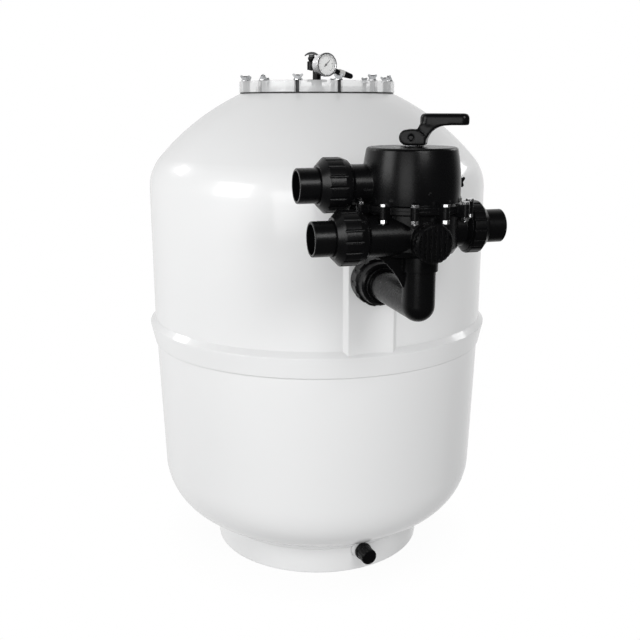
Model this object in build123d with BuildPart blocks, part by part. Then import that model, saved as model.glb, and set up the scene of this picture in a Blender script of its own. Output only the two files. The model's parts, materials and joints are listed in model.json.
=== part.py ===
from build123d import *
import math
import os

# Side-mount swimming pool sand filter: a 650 mm tank with a six-way valve.
# Origin: centre of the foot ring on the floor. +Z is up, the valve is on the -Y side. Millimetres.

os.makedirs("parts", exist_ok=True)

UP = (0, 0, 1)
DOWN = (0, 0, -1)
FRONT = (0, -1, 0)
BACK = (0, 1, 0)
LEFT = (-1, 0, 0)
RIGHT = (1, 0, 0)

# ---- tank ----
WALL = 6.0
SHELL_R = 330.2
SHOULDER_R = 329.7
KNUCKLE_R = 88.0
KNUCKLE_TURN = 40.8
DOME_R = 467.5
NECK_R = 150.0
NECK_BORE_R = 112.0
NECK_TOP_Z = 917.0
NECK_THICK = 17.0
SEAM_Z = 439.0
SEAM_R = 332.0
BAND_R = 339.5
BAND_EDGE_Z = 477.0
BAND_TOP_Z = 487.0
BAND_SOCKET_Z = 481.2
SOCKET_R = 329.4
RIM_R = 329.2
LOWER_R = 328.6
LOWER_KNUCKLE_START_R = 320.6
LOWER_KNUCKLE_START_Z = 185.7
LOWER_KNUCKLE_R = 118.9
LOWER_KNUCKLE_TURN = 53.4
CROWN_R = 246.3

FOOT_R = 214.0
FOOT_TOP_R = 217.5
FOOT_LIP_R = 219.5
FOOT_INNER_R = 206.0
FOOT_LIP_Z = 52.0
FOOT_GAP = 0.1

PAD_HALF_WIDTH = 41.0
PAD_FACE_Y = 334.0
PAD_BEVEL = 12.0
PAD_BOTTOM_Z = 474.0
PAD_TOP_Z = 768.0
PORT_BOSS_R = 44.0
PORT_BOSS_INNER_Y = 314.0
PORT_HOLE_R = 27.0

# ---- lid, studs and wing nuts ----
GASKET_T = 2.5
LID_R = 151.0
LID_BOTTOM_Z = NECK_TOP_Z + GASKET_T
LID_TOP_Z = 940.0
LID_PLATE_T = 10.0
LID_RIM_R = 119.0
STUD_COUNT = 12
STUD_PCR = 142.0
STUD_R = 4.0
STUD_DEPTH = 13.0
STUD_TOP_Z = 949.5
NOTCH_HALF = 4.6
WASHER_R = 8.0
WASHER_T = 1.6
WING_HUB_R = 5.6
WING_HUB_H = 6.0
WING_TIP = 10.0
WING_T = 2.4
WING_RISE = 9.5
THREAD_GAP = 0.05

# ---- gauge manifold ----
MANIFOLD_HOLE_R = 10.4
MANIFOLD_THREAD_R = 10.0
MANIFOLD_STEM_R = 8.0
MANIFOLD_BAR_R = 6.6
MANIFOLD_BASE_R = 19.5
MANIFOLD_BASE_T = 4.0
MANIFOLD_FOOT_Z = 908.0
MANIFOLD_BORE_R = 4.0
GAUGE_AZ = 14.0
GAUGE_Z = 970.8
GAUGE_R = 22.0
GAUGE_FACE = 40.0
GAUGE_BACK = 16.0
GAUGE_CASE_WALL = 1.5
TURRET_OFFSET = 20.0
TURRET_R = 7.3
KNOB_Z = 988.0
KNOB_TOP_Z = 996.7
SPOUT_AZ = 100.0
SPOUT_R = 5.6
SPOUT_END = 78.0
SPOUT_DROP = 20.0

# ---- drain ----
DRAIN_AZ = 7.0
DRAIN_Z = 46.0
DRAIN_BOSS_R = 19.5
DRAIN_FACE = 227.0
DRAIN_INNER_END = 160.0
DRAIN_THREAD_R = 11.0
DRAIN_BORE_R = 7.0
DRAIN_FLANGE_R = 16.8
DRAIN_CAP_R = 15.5
SUMP_REACH = 140.0
SUMP_R = 32.0
SUMP_BOTTOM_Z = 24.0
STRAINER_R = 9.0
STRAINER_LENGTH = 32.0

# ---- valve ----
VALVE_Y = 496.0
BARREL_R = 72.0
BARREL_TOP_R = 66.5
BARREL_TOP_Z = 838.0
BARREL_INNER_R = 66.0
FLANGE_Z = 753.0
FLANGE_TOP_Z = 760.0
FLANGE_BOTTOM_Z = 742.0
FLANGE_R = 76.5
DRUM_R = 70.0
DRUM_BOTTOM_Z = 683.0
DRUM_BOTTOM_R = 57.0
BOLT_COUNT = 12
BOLT_PHASE = -18.0
BOLT_PCR = 86.0
BOLT_R = 3.0
BOLT_HOLE_R = 3.3
BOLT_HEAD_AF = 10.0
BOLT_HEAD_H = 3.8
BOLT_NUT_H = 5.2
LUG_R = 5.6
SPOT_R = 7.6
SHORT_BOLT = 4

NECK_OUTER_R = 29.0
NECK_FLARE_R = 35.5
BORE_R = 20.5
SPIGOT_R = 32.9
SPIGOT_LENGTH = 14.0
TUBE_R = 24.5
PORT_Z = 717.0
RETURN_Y = 536.0
RETURN_Z = 716.0
RETURN_NUT = 91.0
WASTE_Y = 484.0
WASTE_NUT = 92.0
PUMP_Y = 492.0
PUMP_Z = 785.5
PUMP_NUT = 100.0
NUT_R = 39.5
NUT_LONG = 42.0
NUT_SHORT = 30.0
NUT_THREAD_R = 33.2
NUT_RIB_COUNT = 16
NUT_CHAMFER = 10.0
TAIL_R = 25.1
TAIL_BORE_R = 21.5
TAIL_COLLAR_R = 31.5
TAIL_COLLAR_T = 6.0
TAIL_REACH = 30.5
TAIL_STEP = 1.5
SEAL_T = 2.0
FREE_GAP = 0.4

PLUG_Z = 710.0
PLUG_R = 28.0
PLUG_FACE_Y = 590.0
PLUG_BACK_Y = 574.0
PLUG_THREAD_R = 19.0

UPPER_PORT_Z = 722.0
LOWER_PORT_Z = 612.0
ELBOW_Y = 534.0
SOCKET_OUTER_R = 27.5
SOCKET_BOTTOM_Z = 664.0
BULKHEAD_FLANGE_R = 38.0
BULKHEAD_THREAD_R = 26.5
BULKHEAD_SPIGOT_R = 32.5
BULKHEAD_INNER_Y = 285.0
UNION_FACE_Y = 366.8
LOBE_COUNT = 12

# ---- rotor and handle ----
SEAL_PLATE_T = 2.5
WINDOW_PCR = 36.0
WINDOW_R = 12.0
ROTOR_GAP = 0.1
ROTOR_R = 63.0
ROTOR_PLATE_T = 7.5
SHAFT_R = 9.0
SHAFT_BORE_R = 9.06
SHAFT_TOP_Z = 861.0
HUB_TOP_Z = 795.0
SPRING_WIRE_R = 1.5
SPRING_R = 13.2
SPRING_TURNS = 4
THRUST_Z = 819.5
BOSS_BOTTOM_Z = 822.0
PIN_Z = 851.0
PIN_R = 3.0
PIN_HOLE_R = 3.05
HANDLE_AZ = 60.0
FORK_HALF = 15.5
FORK_SLOT_HALF = 9.6
ARM_HALF = 11.5
GRIP_BOTTOM_Z = 868.5
GRIP_TOP_Z = 885.0
GRIP_NEAR_U = 23.0
GRIP_NEAR_R = 12.5
GRIP_FAR_U = 71.0
GRIP_FAR_R = 9.5

# ---- inside the tank ----
INNER_PIPE_R = 20.0
INNER_PIPE_BORE_R = 18.0
HUB_Z = 80.0
HUB_R = 38.0
LATERAL_COUNT = 8
LATERAL_R = 12.0
LATERAL_BORE_R = 9.5
LATERAL_END = 200.0
DIFFUSER_Z = 800.0
DIFFUSER_R = 55.0


def heading(azimuth):
    """Horizontal unit vector at an angle from the front, positive towards +X."""
    a = math.radians(azimuth)
    return (math.sin(a), -math.cos(a), 0)


def along(origin, direction, distance):
    """Point at a distance from an origin."""
    return Vector(*origin) + Vector(*direction) * distance


def axial(origin, direction):
    """Plane whose local x runs along an axis and whose local y is the radius."""
    side = Vector(0, 0, 1) if abs(Vector(*direction).Z) < 0.5 else Vector(1, 0, 0)
    return Plane(origin=Vector(*origin), x_dir=direction, z_dir=Vector(*direction).cross(side))


def across(origin, direction, distance=0):
    """Plane square to an axis at a distance along it; on a level axis its local y points up."""
    side = Vector(0, 0, 1).cross(Vector(*direction)) if abs(Vector(*direction).Z) < 0.9 else (1, 0, 0)
    return Plane(origin=along(origin, direction, distance), x_dir=side, z_dir=direction)


def outline(plane, *points):
    """Closed polygon face on a plane."""
    with BuildSketch(plane) as sketch:
        with BuildLine():
            Polyline(*points, close=True)
        make_face()
    return sketch.sketch


def disc(plane, outer, inner=0):
    """Round face on a plane, with an optional hole."""
    with BuildSketch(plane) as sketch:
        Circle(outer)
        if inner:
            Circle(inner, mode=Mode.SUBTRACT)
    return sketch.sketch


def turn(origin, direction, *points, mode=Mode.ADD):
    """Turned solid about an axis from (distance, radius) points."""
    revolve(outline(axial(origin, direction), *points), axis=Axis(origin, direction), mode=mode)


def rod(origin, direction, start, end, radius, bore=0, mode=Mode.ADD):
    """Straight round bar or tube along an axis."""
    extrude(disc(across(origin, direction, start), radius, bore), amount=end - start, mode=mode)


def save(builder, name):
    """Label a finished piece and write its file."""
    builder.part.label = name
    export_step(builder.part, f"parts/{name}.step")


def arc_point(centre, radius, angle):
    """Point on a circle at an angle in degrees."""
    a = math.radians(angle)
    return (centre[0] + radius * math.cos(a), centre[1] + radius * math.sin(a))


# ======== tank shells ========
# Upper dome: a knuckle arc rises from the shoulder, then one large arc runs in to the neck.
dome_dx = (DOME_R - KNUCKLE_R) * math.cos(math.radians(KNUCKLE_TURN))
dome_dz = (DOME_R - KNUCKLE_R) * math.sin(math.radians(KNUCKLE_TURN))
KNUCKLE_CX = SHOULDER_R - KNUCKLE_R
DOME_CX = KNUCKLE_CX - dome_dx
NECK_ANGLE = math.degrees(math.acos((NECK_R - DOME_CX) / DOME_R))
DOME_CZ = NECK_TOP_Z - DOME_R * math.sin(math.radians(NECK_ANGLE))
SHOULDER_Z = DOME_CZ + dome_dz
KNUCKLE_CENTRE = (KNUCKLE_CX, SHOULDER_Z)
DOME_CENTRE = (DOME_CX, DOME_CZ)


def dome_face(inset):
    """Half section of the upper shell's outer (inset 0) or inner surface, closed on the axis."""
    knuckle = KNUCKLE_R - inset
    dome = DOME_R - inset
    ledge_z = NECK_TOP_Z if inset == 0 else NECK_TOP_Z - NECK_THICK
    ledge_angle = math.degrees(math.asin((ledge_z - DOME_CZ) / dome))
    ledge = arc_point(DOME_CENTRE, dome, ledge_angle)
    base_z = SEAM_Z if inset == 0 else BAND_SOCKET_Z
    base_r = SHELL_R - inset
    with BuildSketch(Plane.XZ) as sketch:
        with BuildLine():
            Line((0, base_z), (base_r, base_z))
            Line((base_r, base_z), (SHOULDER_R - inset, SHOULDER_Z))
            CenterArc(KNUCKLE_CENTRE, knuckle, 0, KNUCKLE_TURN)
            CenterArc(DOME_CENTRE, dome, KNUCKLE_TURN, ledge_angle - KNUCKLE_TURN)
            Line(ledge, (0, ledge_z))
            Line((0, ledge_z), (0, base_z))
        make_face()
    return sketch.sketch


with BuildPart() as upper_shell:
    revolve(dome_face(0), axis=Axis.Z)
    # overlap band with a bevelled top edge and a slight taper down to the seam
    turn(
        (0, 0, 0),
        UP,
        (SEAM_Z, 0),
        (SEAM_Z, SEAM_R),
        (BAND_EDGE_Z - 2, BAND_R),
        (BAND_EDGE_Z, BAND_R),
        (BAND_TOP_Z, SHELL_R),
        (BAND_TOP_Z, 0),
    )
    # flat pad for the two side ports, with bevelled edges
    pad_height = PAD_TOP_Z - PAD_BOTTOM_Z
    pad_mid_z = (PAD_TOP_Z + PAD_BOTTOM_Z) / 2
    with BuildSketch(across((0, 0, pad_mid_z), FRONT, PAD_FACE_Y)):
        RectangleRounded(2 * PAD_HALF_WIDTH, pad_height, 8)
    with BuildSketch(across((0, 0, pad_mid_z), FRONT, PAD_FACE_Y - PAD_BEVEL)):
        RectangleRounded(2 * (PAD_HALF_WIDTH + PAD_BEVEL), pad_height + 2 * PAD_BEVEL, 8 + PAD_BEVEL)
    loft()
    revolve(dome_face(WALL), axis=Axis.Z, mode=Mode.SUBTRACT)
    # socket for the lower shell's rim, and the open neck
    turn(
        (0, 0, 0),
        UP,
        (SEAM_Z - 1, 0),
        (SEAM_Z - 1, SOCKET_R),
        (BAND_SOCKET_Z, SOCKET_R),
        (BAND_SOCKET_Z, 0),
        mode=Mode.SUBTRACT,
    )
    rod((0, 0, 0), UP, NECK_TOP_Z - 2 * NECK_THICK, NECK_TOP_Z + 1, NECK_BORE_R, mode=Mode.SUBTRACT)
    for port_z in (LOWER_PORT_Z, UPPER_PORT_Z):
        rod((0, 0, port_z), FRONT, PORT_BOSS_INNER_Y, PAD_FACE_Y - 4, PORT_BOSS_R)
        rod((0, 0, port_z), FRONT, PORT_BOSS_INNER_Y - 1, PAD_FACE_Y + 1, PORT_HOLE_R, mode=Mode.SUBTRACT)
    with Locations((0, 0, NECK_TOP_Z)):
        with PolarLocations(STUD_PCR, STUD_COUNT):
            Hole(STUD_R, STUD_DEPTH)
save(upper_shell, "upper_shell")

# Lower shell: tapered side, knuckle and a flattened crown inside the foot.
LOWER_CENTRE = (LOWER_KNUCKLE_START_R - LOWER_KNUCKLE_R, LOWER_KNUCKLE_START_Z)
LOWER_JOIN = arc_point(LOWER_CENTRE, LOWER_KNUCKLE_R, -LOWER_KNUCKLE_TURN)
CROWN_CENTRE = arc_point(LOWER_JOIN, CROWN_R, 180 - LOWER_KNUCKLE_TURN)
CROWN_Z = CROWN_CENTRE[1] - CROWN_R


def bowl_face(inset):
    """Half section of the lower shell's outer (inset 0) or inner surface, closed on the axis."""
    top_z = BAND_SOCKET_Z - FREE_GAP
    with BuildSketch(Plane.XZ) as sketch:
        with BuildLine():
            Line((0, CROWN_Z + inset), (CROWN_CENTRE[0], CROWN_Z + inset))
            CenterArc(CROWN_CENTRE, CROWN_R - inset, -90, 90 - LOWER_KNUCKLE_TURN)
            CenterArc(LOWER_CENTRE, LOWER_KNUCKLE_R - inset, -LOWER_KNUCKLE_TURN, LOWER_KNUCKLE_TURN)
            Line((LOWER_KNUCKLE_START_R - inset, LOWER_KNUCKLE_START_Z), (LOWER_R - inset, SEAM_Z - 2))
            Line((LOWER_R - inset, SEAM_Z - 2), (RIM_R - inset, SEAM_Z))
            Line((RIM_R - inset, SEAM_Z), (RIM_R - inset, top_z))
            Line((RIM_R - inset, top_z), (0, top_z))
            Line((0, top_z), (0, CROWN_Z + inset))
        make_face()
    return sketch.sketch


DRAIN_DIR = heading(DRAIN_AZ)
DRAIN_ORIGIN = (0, 0, DRAIN_Z)

sump = along((0, 0, 0), DRAIN_DIR, SUMP_REACH)

with BuildPart() as lower_shell:
    # bowl with a sump pocket, and a drain boss that runs out through the foot ring
    revolve(bowl_face(0), axis=Axis.Z)
    rod(sump, UP, SUMP_BOTTOM_Z, CROWN_Z + 2 * WALL, SUMP_R)
    revolve(bowl_face(WALL), axis=Axis.Z, mode=Mode.SUBTRACT)
    rod(DRAIN_ORIGIN, DRAIN_DIR, SUMP_REACH, DRAIN_FACE, DRAIN_BOSS_R)
    rod(sump, UP, SUMP_BOTTOM_Z + WALL, CROWN_Z + 5 * WALL, SUMP_R - WALL, mode=Mode.SUBTRACT)
    rod(DRAIN_ORIGIN, DRAIN_DIR, SUMP_REACH, DRAIN_FACE + 1, DRAIN_THREAD_R, mode=Mode.SUBTRACT)
save(lower_shell, "lower_shell")

with BuildPart() as foot_skirt:
    foot_arc_r = CROWN_R + FOOT_GAP
    outer_angle = -math.degrees(math.acos((FOOT_LIP_R - CROWN_CENTRE[0]) / foot_arc_r))
    inner_angle = -math.degrees(math.acos((FOOT_INNER_R - CROWN_CENTRE[0]) / foot_arc_r))
    outer_top = arc_point(CROWN_CENTRE, foot_arc_r, outer_angle)
    inner_top = arc_point(CROWN_CENTRE, foot_arc_r, inner_angle)
    with BuildSketch(Plane.XZ):
        with BuildLine():
            Polyline(inner_top, (FOOT_INNER_R, 0), (FOOT_R, 0), (FOOT_TOP_R, FOOT_LIP_Z))
            Line((FOOT_TOP_R, FOOT_LIP_Z), (FOOT_LIP_R, FOOT_LIP_Z + 2))
            Line((FOOT_LIP_R, FOOT_LIP_Z + 2), outer_top)
            CenterArc(CROWN_CENTRE, foot_arc_r, inner_angle, outer_angle - inner_angle)
        make_face()
    revolve(axis=Axis.Z)
    rod(
        DRAIN_ORIGIN,
        DRAIN_DIR,
        FOOT_INNER_R - 10,
        FOOT_LIP_R + 2,
        DRAIN_BOSS_R + FREE_GAP,
        mode=Mode.SUBTRACT,
    )
save(foot_skirt, "foot_skirt")

# ======== lid ========
with BuildPart() as lid_gasket:
    rod((0, 0, 0), UP, NECK_TOP_Z, LID_BOTTOM_Z, NECK_R - 0.5, NECK_BORE_R + 1)
    with Locations((0, 0, LID_BOTTOM_Z)):
        with PolarLocations(STUD_PCR, STUD_COUNT):
            Hole(STUD_R + 0.5, GASKET_T)
save(lid_gasket, "lid_gasket")

with BuildPart() as lid:
    rod((0, 0, 0), UP, LID_BOTTOM_Z, LID_TOP_Z, LID_R)
    fillet(lid.edges().group_by(Axis.Z)[-1], 1.5)
    rod((0, 0, 0), UP, LID_BOTTOM_Z - 1, LID_TOP_Z - LID_PLATE_T, LID_RIM_R, mode=Mode.SUBTRACT)
    rod((0, 0, 0), UP, LID_BOTTOM_Z, LID_TOP_Z + 1, MANIFOLD_HOLE_R, mode=Mode.SUBTRACT)
    # open notch at each stud
    notch_mid = (STUD_PCR + LID_R + 2) / 2
    with BuildSketch(Plane.XY.offset(LID_BOTTOM_Z - 1)):
        with PolarLocations(STUD_PCR, STUD_COUNT):
            Circle(NOTCH_HALF)
        with PolarLocations(notch_mid, STUD_COUNT):
            Rectangle(LID_R + 2 - STUD_PCR, 2 * NOTCH_HALF)
    extrude(amount=LID_TOP_Z - LID_BOTTOM_Z + 2, mode=Mode.SUBTRACT)
save(lid, "lid")

with BuildPart() as lid_studs:
    with BuildSketch(Plane.XY.offset(NECK_TOP_Z - STUD_DEPTH)):
        with PolarLocations(STUD_PCR, STUD_COUNT):
            Circle(STUD_R)
    extrude(amount=STUD_TOP_Z - NECK_TOP_Z + STUD_DEPTH)
    chamfer(lid_studs.edges().group_by(Axis.Z)[-1], 0.8)
save(lid_studs, "lid_studs")

with BuildPart() as lid_washers:
    with BuildSketch(Plane.XY.offset(LID_TOP_Z)):
        with PolarLocations(STUD_PCR, STUD_COUNT):
            Circle(WASHER_R)
            Circle(STUD_R + 0.3, mode=Mode.SUBTRACT)
    extrude(amount=WASHER_T)
save(lid_washers, "lid_washers")

with BuildPart() as wing_nuts:
    nut_base = LID_TOP_Z + WASHER_T
    for index in range(STUD_COUNT):
        seat = along((0, 0, nut_base), heading(index * 360 / STUD_COUNT), STUD_PCR)
        twist = heading(40 + 67 * index)
        turn(
            seat,
            UP,
            (0, 0),
            (0, WING_HUB_R + 1.2),
            (1.5, WING_HUB_R + 1.2),
            (WING_HUB_H, WING_HUB_R - 1),
            (WING_HUB_H, 0),
        )
        wing = Plane(origin=seat, x_dir=twist, z_dir=Vector(*twist).cross(Vector(0, 0, 1)))
        for sign in (-1, 1):
            blade = outline(
                wing,
                (sign * 3.5, 1),
                (sign * (WING_TIP - 4), 2.5),
                (sign * WING_TIP, WING_RISE - 2.5),
                (sign * (WING_TIP - 1.5), WING_RISE),
                (sign * (WING_TIP - 5), WING_RISE - 1),
                (sign * 4, WING_HUB_H - 0.5),
            )
            extrude(blade, amount=WING_T / 2, both=True)
        rod(seat, UP, -1, WING_RISE, STUD_R + THREAD_GAP, mode=Mode.SUBTRACT)
save(wing_nuts, "wing_nuts")

# ======== gauge manifold ========
GAUGE_DIR = heading(GAUGE_AZ)
GAUGE_ORIGIN = (0, 0, GAUGE_Z)
TURRET = along((0, 0, 0), GAUGE_DIR, -TURRET_OFFSET)
TURRET_BASE = (TURRET.X, TURRET.Y, 0)
spout_flat = Vector(*heading(SPOUT_AZ)) * SPOUT_END
spout_vector = Vector(spout_flat.X, spout_flat.Y, -SPOUT_DROP)
SPOUT_DIR = tuple(spout_vector.normalized())
SPOUT_LENGTH = spout_vector.length
SPOUT_COLLAR = (0.62, 0.76)

with BuildPart() as manifold:
    rod((0, 0, 0), UP, MANIFOLD_FOOT_Z, LID_TOP_Z, MANIFOLD_THREAD_R)
    rod((0, 0, 0), UP, LID_TOP_Z, LID_TOP_Z + MANIFOLD_BASE_T, MANIFOLD_BASE_R)
    rod((0, 0, 0), UP, LID_TOP_Z, GAUGE_Z + MANIFOLD_STEM_R, MANIFOLD_STEM_R)
    rod(GAUGE_ORIGIN, GAUGE_DIR, -TURRET_OFFSET, GAUGE_BACK, MANIFOLD_BAR_R)
    turn(
        TURRET_BASE,
        UP,
        (GAUGE_Z - 9.5, 0),
        (GAUGE_Z - 7.5, TURRET_R + 1.5),
        (GAUGE_Z + 7.5, TURRET_R + 1.5),
        (GAUGE_Z + 9.5, TURRET_R - 1.8),
        (GAUGE_Z + 12, TURRET_R),
        (KNOB_Z - 1, TURRET_R),
        (KNOB_Z - 1, 0),
    )
    rod(GAUGE_ORIGIN, SPOUT_DIR, 0, SPOUT_LENGTH * 0.3, MANIFOLD_BAR_R - 0.3)
    rod((0, 0, 0), UP, MANIFOLD_FOOT_Z - 1, GAUGE_Z, MANIFOLD_BORE_R, mode=Mode.SUBTRACT)
    rod(GAUGE_ORIGIN, GAUGE_DIR, -TURRET_OFFSET, GAUGE_BACK, MANIFOLD_BORE_R, mode=Mode.SUBTRACT)
    rod(TURRET_BASE, UP, GAUGE_Z, KNOB_Z, MANIFOLD_BORE_R, mode=Mode.SUBTRACT)
    rod(GAUGE_ORIGIN, SPOUT_DIR, 0, SPOUT_LENGTH * 0.3 + 1, SPOUT_R - 2.0, mode=Mode.SUBTRACT)
save(manifold, "manifold")

with BuildPart() as bleed_spout:
    # barbed outlet nozzle for the bleed hose
    spout_start = SPOUT_LENGTH * 0.3
    turn(
        GAUGE_ORIGIN,
        SPOUT_DIR,
        (spout_start - 5, SPOUT_R - 3.4),
        (spout_start - 5, SPOUT_R - 2.0),
        (spout_start, SPOUT_R - 2.0),
        (spout_start, SPOUT_R),
        (SPOUT_LENGTH * 0.58, SPOUT_R),
        (SPOUT_LENGTH * 0.60, SPOUT_R - 1.4),
        (SPOUT_LENGTH * 0.78, SPOUT_R - 1.4),
        (SPOUT_LENGTH * 0.80, SPOUT_R + 0.6),
        (SPOUT_LENGTH * 0.97, SPOUT_R - 0.6),
        (SPOUT_LENGTH, SPOUT_R - 1.8),
        (SPOUT_LENGTH, SPOUT_R - 3.4),
    )
save(bleed_spout, "bleed_spout")

with BuildPart() as bleed_collar:
    rod(
        GAUGE_ORIGIN,
        SPOUT_DIR,
        SPOUT_LENGTH * SPOUT_COLLAR[0],
        SPOUT_LENGTH * SPOUT_COLLAR[1],
        SPOUT_R + 1.2,
        SPOUT_R - 1.4,
    )
save(bleed_collar, "bleed_collar")

with BuildPart() as manifold_oring:
    torus_r = MANIFOLD_THREAD_R + 3.0
    with BuildSketch(axial((0, 0, 0), UP)):
        with Locations((LID_TOP_Z - LID_PLATE_T - 1.4, torus_r)):
            Circle(1.4)
    revolve(axis=Axis.Z)
save(manifold_oring, "manifold_oring")

with BuildPart() as manifold_locknut:
    with BuildSketch(Plane.XY.offset(MANIFOLD_FOOT_Z + 4)):
        RegularPolygon(17, 6)
        Circle(MANIFOLD_THREAD_R, mode=Mode.SUBTRACT)
    extrude(amount=LID_TOP_Z - LID_PLATE_T - 2.8 - MANIFOLD_FOOT_Z - 4)
save(manifold_locknut, "manifold_locknut")

with BuildPart() as bleed_knob:
    # threaded stem under a bowed two-sided wing
    rod(TURRET_BASE, UP, GAUGE_Z + 6, KNOB_Z, MANIFOLD_BORE_R - THREAD_GAP)
    rod(TURRET_BASE, UP, KNOB_Z - 0.9, KNOB_Z + 3.5, TURRET_R - 1.5)
    wing_dir = heading(80)
    wing_plane = Plane(
        origin=(TURRET.X, TURRET.Y, KNOB_Z),
        x_dir=wing_dir,
        z_dir=Vector(*wing_dir).cross(Vector(0, 0, 1)),
    )
    wing_top = KNOB_TOP_Z - KNOB_Z
    with BuildSketch(wing_plane):
        with BuildLine():
            ThreePointArc((-13.5, 3.0), (0, wing_top), (13.5, 3.0))
            Line((13.5, 3.0), (13.0, 0.6))
            ThreePointArc((13.0, 0.6), (0, wing_top - 4.2), (-13.0, 0.6))
            Line((-13.0, 0.6), (-13.5, 3.0))
        make_face()
    extrude(amount=5, both=True)
save(bleed_knob, "bleed_knob")

with BuildPart() as gauge_case:
    turn(
        GAUGE_ORIGIN,
        GAUGE_DIR,
        (GAUGE_BACK - 4, 0),
        (GAUGE_BACK - 4, MANIFOLD_BORE_R - THREAD_GAP),
        (GAUGE_BACK, MANIFOLD_BORE_R - THREAD_GAP),
        (GAUGE_BACK, GAUGE_R - 4),
        (GAUGE_BACK + 2, GAUGE_R - 1.6),
        (GAUGE_FACE - 3, GAUGE_R - 1.6),
        (GAUGE_FACE - 3, GAUGE_R - 1.6 - GAUGE_CASE_WALL),
        (GAUGE_BACK + 2, GAUGE_R - 1.6 - GAUGE_CASE_WALL),
        (GAUGE_BACK + 2, 0),
    )
save(gauge_case, "gauge_case")

with BuildPart() as gauge_bezel:
    turn(
        GAUGE_ORIGIN,
        GAUGE_DIR,
        (GAUGE_FACE - 7, GAUGE_R - 1.6),
        (GAUGE_FACE - 7, GAUGE_R),
        (GAUGE_FACE - 0.8, GAUGE_R),
        (GAUGE_FACE, GAUGE_R - 0.8),
        (GAUGE_FACE, GAUGE_R - 2.6),
        (GAUGE_FACE - 1, GAUGE_R - 3.2),
        (GAUGE_FACE - 3, GAUGE_R - 3.2),
        (GAUGE_FACE - 3, GAUGE_R - 1.6),
    )
save(gauge_bezel, "gauge_bezel")

with BuildPart() as gauge_dial:
    rod(GAUGE_ORIGIN, GAUGE_DIR, GAUGE_FACE - 6.5, GAUGE_FACE - 5.7, GAUGE_R - 3.2)
    rod(GAUGE_ORIGIN, GAUGE_DIR, GAUGE_BACK + 2, GAUGE_FACE - 6.5, 2.2)
save(gauge_dial, "gauge_dial")

with BuildPart() as gauge_needle:
    # pointer on its arbor, resting up and to the right of the dial
    needle_plane = across(GAUGE_ORIGIN, GAUGE_DIR, GAUGE_FACE - 4.8)
    pointer = ((-5, -0.9), (-5, 0.9), (0, 0.75), (12.5, 0.25), (12.5, -0.25), (0, -0.75))
    with BuildSketch(needle_plane):
        Circle(2.2)
        with BuildLine():
            Polyline(*[Vector(u, v).rotate(Axis.Z, 45) for u, v in pointer], close=True)
        make_face()
    extrude(amount=0.6)
save(gauge_needle, "gauge_needle")

with BuildPart() as gauge_lens:
    rod(GAUGE_ORIGIN, GAUGE_DIR, GAUGE_FACE - 2.9, GAUGE_FACE - 1.2, GAUGE_R - 3.3)
save(gauge_lens, "gauge_lens")

# ======== drain ========
with BuildPart() as drain_gasket:
    rod(DRAIN_ORIGIN, DRAIN_DIR, DRAIN_FACE, DRAIN_FACE + SEAL_T, DRAIN_FLANGE_R - 1, DRAIN_THREAD_R)
save(drain_gasket, "drain_gasket")

with BuildPart() as drain_body:
    flange_start = DRAIN_FACE + SEAL_T
    turn(
        DRAIN_ORIGIN,
        DRAIN_DIR,
        (DRAIN_INNER_END, DRAIN_BORE_R),
        (DRAIN_INNER_END, DRAIN_THREAD_R),
        (flange_start, DRAIN_THREAD_R),
        (flange_start, DRAIN_FLANGE_R),
        (flange_start + 5, DRAIN_FLANGE_R),
        (flange_start + 7, DRAIN_FLANGE_R - 2),
        (flange_start + 7, DRAIN_THREAD_R + 1),
        (flange_start + 24, DRAIN_THREAD_R + 1),
        (flange_start + 24, DRAIN_BORE_R),
    )
save(drain_body, "drain_body")

with BuildPart() as drain_strainer:
    # slotted cage on the inner end of the drain
    strainer_start = DRAIN_INNER_END - STRAINER_LENGTH
    rod(DRAIN_ORIGIN, DRAIN_DIR, strainer_start, DRAIN_INNER_END, STRAINER_R)
    rod(DRAIN_ORIGIN, DRAIN_DIR, strainer_start + 2, DRAIN_INNER_END, DRAIN_BORE_R, mode=Mode.SUBTRACT)
    for step in range(5):
        slot_centre = along(DRAIN_ORIGIN, DRAIN_DIR, strainer_start + 6 + 5 * step)
        with Locations(Plane(origin=slot_centre, x_dir=DRAIN_DIR, z_dir=UP)):
            Box(1, 3 * STRAINER_R, STRAINER_R, align=(Align.CENTER, Align.CENTER, Align.MIN),
                mode=Mode.SUBTRACT)
save(drain_strainer, "drain_strainer")

with BuildPart() as drain_cap:
    cap_start = DRAIN_FACE + SEAL_T + 8
    turn(
        DRAIN_ORIGIN,
        DRAIN_DIR,
        (cap_start, DRAIN_THREAD_R + 1.35),
        (cap_start, DRAIN_CAP_R),
        (cap_start + 20, DRAIN_CAP_R),
        (cap_start + 22, DRAIN_CAP_R - 2),
        (cap_start + 22, 0),
        (cap_start + 18, 0),
        (cap_start + 18, DRAIN_THREAD_R + 1.35),
    )
    with BuildSketch(across(DRAIN_ORIGIN, DRAIN_DIR, cap_start + 2)):
        with PolarLocations(DRAIN_CAP_R + 1.2, 14):
            Circle(2.0)
    extrude(amount=30, mode=Mode.SUBTRACT)
save(drain_cap, "drain_cap")

with BuildPart() as drain_seal:
    rod(DRAIN_ORIGIN, DRAIN_DIR, DRAIN_FACE + 26.05, DRAIN_FACE + 27.7, DRAIN_THREAD_R + 1, 3)
save(drain_seal, "drain_seal")

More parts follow.
